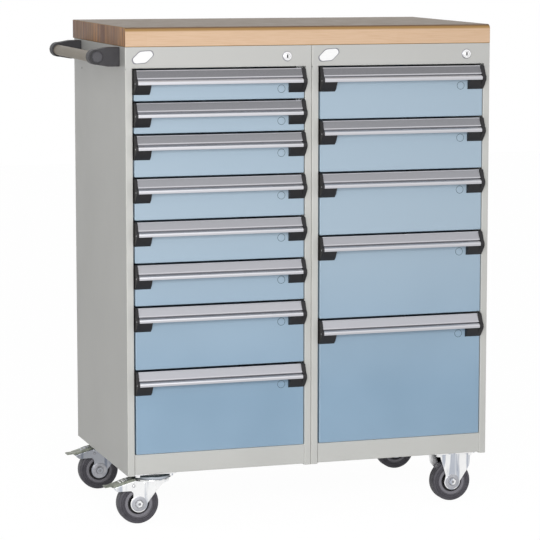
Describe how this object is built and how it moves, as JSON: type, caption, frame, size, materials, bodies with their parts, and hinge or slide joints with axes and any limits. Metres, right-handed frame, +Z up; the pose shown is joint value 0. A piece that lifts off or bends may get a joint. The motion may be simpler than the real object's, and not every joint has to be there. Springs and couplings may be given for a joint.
{
  "type": "mobile drawer cabinet",
  "caption": "Mobile cabinet with side-by-side bays of full-width drawers on telescopic slides, laminated wood worktop, side push bar and braked casters.",
  "frame": {"origin": "on the floor under the middle of the whole part's bounding box", "axes": "+Z up, +Y from the drawer fronts to the back, +X to the right seen from the front"},
  "size_m": [0.9894, 0.5604, 1.189],
  "materials": {
    "housing_enamel": "satin powder coat, light grey",
    "drawer_enamel": "satin powder coat, pale blue",
    "pull_aluminium": "satin anodised extrusion",
    "zinc_plate": "bright zinc plate",
    "lock_chrome": "polished",
    "oiled_beech": "oiled edge-glued blocks",
    "bar_enamel": "satin grey-brown coat",
    "black_nylon": "moulded, fine grain",
    "pedal_steel": "passivated steel",
    "tyre_rubber": "grey-black rubber"
  },
  "bodies": {
    "root": {"left_housing": "housing_enamel", "right_housing": "housing_enamel", "cabinet_slide_members": "zinc_plate", "lock_barrels": "lock_chrome", "worktop": "oiled_beech", "push_bar": "bar_enamel", "push_bar_brackets": "black_nylon", "swivel_plates": "zinc_plate", "rigid_forks": "zinc_plate"},
    "left_drawer_1": {"left_drawer_1": "drawer_enamel", "left_pull_1": "pull_aluminium"},
    "left_slide_middle_1": {"left_slide_middle_1": "zinc_plate"},
    "left_drawer_2": {"left_drawer_2": "drawer_enamel", "left_pull_2": "pull_aluminium"},
    "left_slide_middle_2": {"left_slide_middle_2": "zinc_plate"},
    "left_drawer_3": {"left_drawer_3": "drawer_enamel", "left_pull_3": "pull_aluminium"},
    "left_slide_middle_3": {"left_slide_middle_3": "zinc_plate"},
    "left_drawer_4": {"left_drawer_4": "drawer_enamel", "left_pull_4": "pull_aluminium"},
    "left_slide_middle_4": {"left_slide_middle_4": "zinc_plate"},
    "left_drawer_5": {"left_drawer_5": "drawer_enamel", "left_pull_5": "pull_aluminium"},
    "left_slide_middle_5": {"left_slide_middle_5": "zinc_plate"},
    "left_drawer_6": {"left_drawer_6": "drawer_enamel", "left_pull_6": "pull_aluminium"},
    "left_slide_middle_6": {"left_slide_middle_6": "zinc_plate"},
    "left_drawer_7": {"left_drawer_7": "drawer_enamel", "left_pull_7": "pull_aluminium"},
    "left_slide_middle_7": {"left_slide_middle_7": "zinc_plate"},
    "left_drawer_8": {"left_drawer_8": "drawer_enamel", "left_pull_8": "pull_aluminium"},
    "left_slide_middle_8": {"left_slide_middle_8": "zinc_plate"},
    "left_lock_plug": {"left_lock_plug": "lock_chrome"},
    "left_lock_bar": {"left_lock_bar": "zinc_plate"},
    "right_drawer_1": {"right_drawer_1": "drawer_enamel", "right_pull_1": "pull_aluminium"},
    "right_slide_middle_1": {"right_slide_middle_1": "zinc_plate"},
    "right_drawer_2": {"right_drawer_2": "drawer_enamel", "right_pull_2": "pull_aluminium"},
    "right_slide_middle_2": {"right_slide_middle_2": "zinc_plate"},
    "right_drawer_3": {"right_drawer_3": "drawer_enamel", "right_pull_3": "pull_aluminium"},
    "right_slide_middle_3": {"right_slide_middle_3": "zinc_plate"},
    "right_drawer_4": {"right_drawer_4": "drawer_enamel", "right_pull_4": "pull_aluminium"},
    "right_slide_middle_4": {"right_slide_middle_4": "zinc_plate"},
    "right_drawer_5": {"right_drawer_5": "drawer_enamel", "right_pull_5": "pull_aluminium"},
    "right_slide_middle_5": {"right_slide_middle_5": "zinc_plate"},
    "right_lock_plug": {"right_lock_plug": "lock_chrome"},
    "right_lock_bar": {"right_lock_bar": "zinc_plate"},
    "front_swivel_fork": {"front_swivel_fork": "zinc_plate"},
    "front_brake_pedal": {"front_brake_pedal": "pedal_steel"},
    "front_left_wheel": {"front_left_wheel": "tyre_rubber"},
    "front_right_wheel": {"front_right_wheel": "tyre_rubber"},
    "rear_swivel_fork": {"rear_swivel_fork": "zinc_plate"},
    "rear_brake_pedal": {"rear_brake_pedal": "pedal_steel"},
    "rear_left_wheel": {"rear_left_wheel": "tyre_rubber"},
    "rear_right_wheel": {"rear_right_wheel": "tyre_rubber"}
  },
  "joints": [
    {"name": "left_drawer_1_slide", "type": "slide", "parent": "root", "child": "left_drawer_1", "axis": [0, -1, 0], "range_m": [0, 0.456]},
    {"name": "left_slide_middle_1_slide", "type": "slide", "parent": "root", "child": "left_slide_middle_1", "axis": [0, -1, 0], "range_m": [0, 0.228]},
    {"name": "left_drawer_2_slide", "type": "slide", "parent": "root", "child": "left_drawer_2", "axis": [0, -1, 0], "range_m": [0, 0.456]},
    {"name": "left_slide_middle_2_slide", "type": "slide", "parent": "root", "child": "left_slide_middle_2", "axis": [0, -1, 0], "range_m": [0, 0.228]},
    {"name": "left_drawer_3_slide", "type": "slide", "parent": "root", "child": "left_drawer_3", "axis": [0, -1, 0], "range_m": [0, 0.456]},
    {"name": "left_slide_middle_3_slide", "type": "slide", "parent": "root", "child": "left_slide_middle_3", "axis": [0, -1, 0], "range_m": [0, 0.228]},
    {"name": "left_drawer_4_slide", "type": "slide", "parent": "root", "child": "left_drawer_4", "axis": [0, -1, 0], "range_m": [0, 0.456]},
    {"name": "left_slide_middle_4_slide", "type": "slide", "parent": "root", "child": "left_slide_middle_4", "axis": [0, -1, 0], "range_m": [0, 0.228]},
    {"name": "left_drawer_5_slide", "type": "slide", "parent": "root", "child": "left_drawer_5", "axis": [0, -1, 0], "range_m": [0, 0.456]},
    {"name": "left_slide_middle_5_slide", "type": "slide", "parent": "root", "child": "left_slide_middle_5", "axis": [0, -1, 0], "range_m": [0, 0.228]},
    {"name": "left_drawer_6_slide", "type": "slide", "parent": "root", "child": "left_drawer_6", "axis": [0, -1, 0], "range_m": [0, 0.456]},
    {"name": "left_slide_middle_6_slide", "type": "slide", "parent": "root", "child": "left_slide_middle_6", "axis": [0, -1, 0], "range_m": [0, 0.228]},
    {"name": "left_drawer_7_slide", "type": "slide", "parent": "root", "child": "left_drawer_7", "axis": [0, -1, 0], "range_m": [0, 0.456]},
    {"name": "left_slide_middle_7_slide", "type": "slide", "parent": "root", "child": "left_slide_middle_7", "axis": [0, -1, 0], "range_m": [0, 0.228]},
    {"name": "left_drawer_8_slide", "type": "slide", "parent": "root", "child": "left_drawer_8", "axis": [0, -1, 0], "range_m": [0, 0.456]},
    {"name": "left_slide_middle_8_slide", "type": "slide", "parent": "root", "child": "left_slide_middle_8", "axis": [0, -1, 0], "range_m": [0, 0.228]},
    {"name": "left_lock_turn", "type": "hinge", "parent": "root", "child": "left_lock_plug", "pos_m": [-0.0245, -0.2532, 1.1176], "axis": [0, 1, 0], "range_deg": [0, 90]},
    {"name": "left_lock_bar_drop", "type": "slide", "parent": "root", "child": "left_lock_bar", "axis": [0, 0, -1], "range_m": [0, 0.01414]},
    {"name": "right_drawer_1_slide", "type": "slide", "parent": "root", "child": "right_drawer_1", "axis": [0, -1, 0], "range_m": [0, 0.456]},
    {"name": "right_slide_middle_1_slide", "type": "slide", "parent": "root", "child": "right_slide_middle_1", "axis": [0, -1, 0], "range_m": [0, 0.228]},
    {"name": "right_drawer_2_slide", "type": "slide", "parent": "root", "child": "right_drawer_2", "axis": [0, -1, 0], "range_m": [0, 0.456]},
    {"name": "right_slide_middle_2_slide", "type": "slide", "parent": "root", "child": "right_slide_middle_2", "axis": [0, -1, 0], "range_m": [0, 0.228]},
    {"name": "right_drawer_3_slide", "type": "slide", "parent": "root", "child": "right_drawer_3", "axis": [0, -1, 0], "range_m": [0, 0.456]},
    {"name": "right_slide_middle_3_slide", "type": "slide", "parent": "root", "child": "right_slide_middle_3", "axis": [0, -1, 0], "range_m": [0, 0.228]},
    {"name": "right_drawer_4_slide", "type": "slide", "parent": "root", "child": "right_drawer_4", "axis": [0, -1, 0], "range_m": [0, 0.456]},
    {"name": "right_slide_middle_4_slide", "type": "slide", "parent": "root", "child": "right_slide_middle_4", "axis": [0, -1, 0], "range_m": [0, 0.228]},
    {"name": "right_drawer_5_slide", "type": "slide", "parent": "root", "child": "right_drawer_5", "axis": [0, -1, 0], "range_m": [0, 0.456]},
    {"name": "right_slide_middle_5_slide", "type": "slide", "parent": "root", "child": "right_slide_middle_5", "axis": [0, -1, 0], "range_m": [0, 0.228]},
    {"name": "right_lock_turn", "type": "hinge", "parent": "root", "child": "right_lock_plug", "pos_m": [0.4327, -0.2532, 1.1176], "axis": [0, 1, 0], "range_deg": [0, 90]},
    {"name": "right_lock_bar_drop", "type": "slide", "parent": "root", "child": "right_lock_bar", "axis": [0, 0, -1], "range_m": [0, 0.01414]},
    {"name": "front_swivel", "type": "hinge", "parent": "root", "child": "front_swivel_fork", "pos_m": [-0.3477, -0.1932, 0.127], "axis": [0, 0, 1], "continuous": true},
    {"name": "front_pedal_press", "type": "hinge", "parent": "front_swivel_fork", "child": "front_brake_pedal", "pos_m": [-0.3967, -0.1932, 0.1024], "axis": [0, -1, 0], "range_deg": [0, 9]},
    {"name": "front_left_wheel_spin", "type": "hinge", "parent": "front_swivel_fork", "child": "front_left_wheel", "pos_m": [-0.3827, -0.1932, 0.05], "axis": [0, 1, 0], "continuous": true},
    {"name": "front_right_wheel_spin", "type": "hinge", "parent": "root", "child": "front_right_wheel", "pos_m": [0.4227, -0.1932, 0.05], "axis": [0, 1, 0], "continuous": true},
    {"name": "rear_swivel", "type": "hinge", "parent": "root", "child": "rear_swivel_fork", "pos_m": [-0.3477, 0.2068, 0.127], "axis": [0, 0, 1], "continuous": true},
    {"name": "rear_pedal_press", "type": "hinge", "parent": "rear_swivel_fork", "child": "rear_brake_pedal", "pos_m": [-0.3967, 0.2068, 0.1024], "axis": [0, -1, 0], "range_deg": [0, 9]},
    {"name": "rear_left_wheel_spin", "type": "hinge", "parent": "rear_swivel_fork", "child": "rear_left_wheel", "pos_m": [-0.3827, 0.2068, 0.05], "axis": [0, 1, 0], "continuous": true},
    {"name": "rear_right_wheel_spin", "type": "hinge", "parent": "root", "child": "rear_right_wheel", "pos_m": [0.4227, 0.2068, 0.05], "axis": [0, 1, 0], "continuous": true}
  ],
  "couplings": [
    {"joint": "left_slide_middle_1_slide", "follows": "left_drawer_1_slide", "ratio": 0.5},
    {"joint": "left_slide_middle_2_slide", "follows": "left_drawer_2_slide", "ratio": 0.5},
    {"joint": "left_slide_middle_3_slide", "follows": "left_drawer_3_slide", "ratio": 0.5},
    {"joint": "left_slide_middle_4_slide", "follows": "left_drawer_4_slide", "ratio": 0.5},
    {"joint": "left_slide_middle_5_slide", "follows": "left_drawer_5_slide", "ratio": 0.5},
    {"joint": "left_slide_middle_6_slide", "follows": "left_drawer_6_slide", "ratio": 0.5},
    {"joint": "left_slide_middle_7_slide", "follows": "left_drawer_7_slide", "ratio": 0.5},
    {"joint": "left_slide_middle_8_slide", "follows": "left_drawer_8_slide", "ratio": 0.5},
    {"joint": "left_lock_turn", "follows": "left_lock_bar_drop", "rad_per_m": 111.07},
    {"joint": "right_slide_middle_1_slide", "follows": "right_drawer_1_slide", "ratio": 0.5},
    {"joint": "right_slide_middle_2_slide", "follows": "right_drawer_2_slide", "ratio": 0.5},
    {"joint": "right_slide_middle_3_slide", "follows": "right_drawer_3_slide", "ratio": 0.5},
    {"joint": "right_slide_middle_4_slide", "follows": "right_drawer_4_slide", "ratio": 0.5},
    {"joint": "right_slide_middle_5_slide", "follows": "right_drawer_5_slide", "ratio": 0.5},
    {"joint": "right_lock_turn", "follows": "right_lock_bar_drop", "rad_per_m": 111.07}
  ]
}
